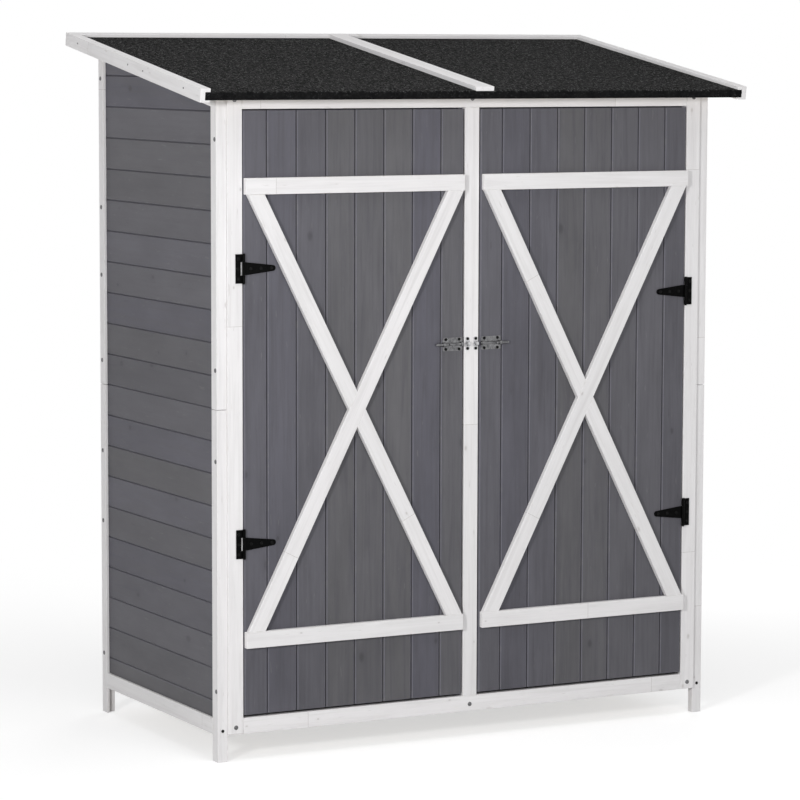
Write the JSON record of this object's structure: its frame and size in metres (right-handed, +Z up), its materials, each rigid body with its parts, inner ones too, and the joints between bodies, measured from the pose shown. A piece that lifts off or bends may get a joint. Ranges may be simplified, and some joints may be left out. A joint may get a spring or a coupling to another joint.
{
  "type": "garden shed",
  "caption": "Small free-standing timber garden shed with braced double doors, barrel bolts, tee hinges, boarded walls and floor, and a felted roof that slopes to the front.",
  "frame": {"origin": "on the ground under the middle of the roof", "axes": "+Z up, the doors face -Y, +X to the right for someone facing the doors"},
  "size_m": [1.3912, 0.76, 1.6],
  "materials": {
    "white_paint": "satin white paint",
    "grey_paint": "satin grey paint",
    "bare_fir": "planed, unpainted",
    "roof_felt": "mineral granules",
    "black_steel": "satin black",
    "zinc_steel": "zinc plated",
    "screw_steel": "zinc plated",
    "black_screws": "black oxide"
  },
  "bodies": {
    "carcass": {"back_boards": "grey_paint", "back_bottom_rail": "white_paint", "back_centre_stile": "white_paint", "back_top_rail": "white_paint", "bolt_keepers": "zinc_steel", "door_stops": "grey_paint", "floor_bearers": "bare_fir", "floor_boards": "bare_fir", "frame_screws": "screw_steel", "front_bottom_rail": "white_paint", "front_centre_post": "white_paint", "front_head_rail": "white_paint", "hardware_screws": "black_screws", "hinge_leaves": "black_steel", "hinge_pins": "black_steel", "left_back_stile": "white_paint", "left_bottom_rail": "white_paint", "left_front_stile": "white_paint", "left_lower_boards": "grey_paint", "left_lower_posts": "white_paint", "left_roof_channel": "white_paint", "left_roof_deck": "bare_fir", "left_roof_felt": "roof_felt", "left_top_rail": "white_paint", "left_upper_boards": "grey_paint", "left_upper_posts": "white_paint", "right_back_stile": "white_paint", "right_bottom_rail": "white_paint", "right_front_stile": "white_paint", "right_lower_boards": "grey_paint", "right_lower_posts": "white_paint", "right_roof_channel": "white_paint", "right_roof_deck": "bare_fir", "right_roof_felt": "roof_felt", "right_top_rail": "white_paint", "right_upper_boards": "grey_paint", "right_upper_posts": "white_paint", "roof_battens": "grey_paint", "roof_joint_strip": "white_paint", "roof_rear_channel": "white_paint", "trim_nails": "screw_steel"},
    "left_door": {"left_bolt_plate": "zinc_steel", "left_door_boards": "grey_paint", "left_door_bottom_rail": "white_paint", "left_door_cut_braces": "white_paint", "left_door_long_brace": "white_paint", "left_door_screws": "black_screws", "left_door_top_rail": "white_paint", "left_hinge_straps": "black_steel"},
    "right_door": {"right_bolt_plate": "zinc_steel", "right_door_boards": "grey_paint", "right_door_bottom_rail": "white_paint", "right_door_cut_braces": "white_paint", "right_door_long_brace": "white_paint", "right_door_screws": "black_screws", "right_door_top_rail": "white_paint", "right_hinge_straps": "black_steel"},
    "left_bolt_rod": {"left_bolt": "zinc_steel"},
    "right_bolt_rod": {"right_bolt": "zinc_steel"}
  },
  "joints": [
    {"name": "left_door_hinge", "type": "hinge", "parent": "carcass", "child": "left_door", "pos_m": [-0.569, -0.324, 0.78], "axis": [0, 0, -1], "range_deg": [0, 110]},
    {"name": "left_bolt_slide", "type": "slide", "parent": "left_door", "child": "left_bolt_rod", "axis": [1, 0, 0], "range_m": [0, 0.02]},
    {"name": "right_door_hinge", "type": "hinge", "parent": "carcass", "child": "right_door", "pos_m": [0.569, -0.324, 0.78], "axis": [0, 0, 1], "range_deg": [0, 110]},
    {"name": "right_bolt_slide", "type": "slide", "parent": "right_door", "child": "right_bolt_rod", "axis": [-1, 0, 0], "range_m": [0, 0.02]}
  ]
}
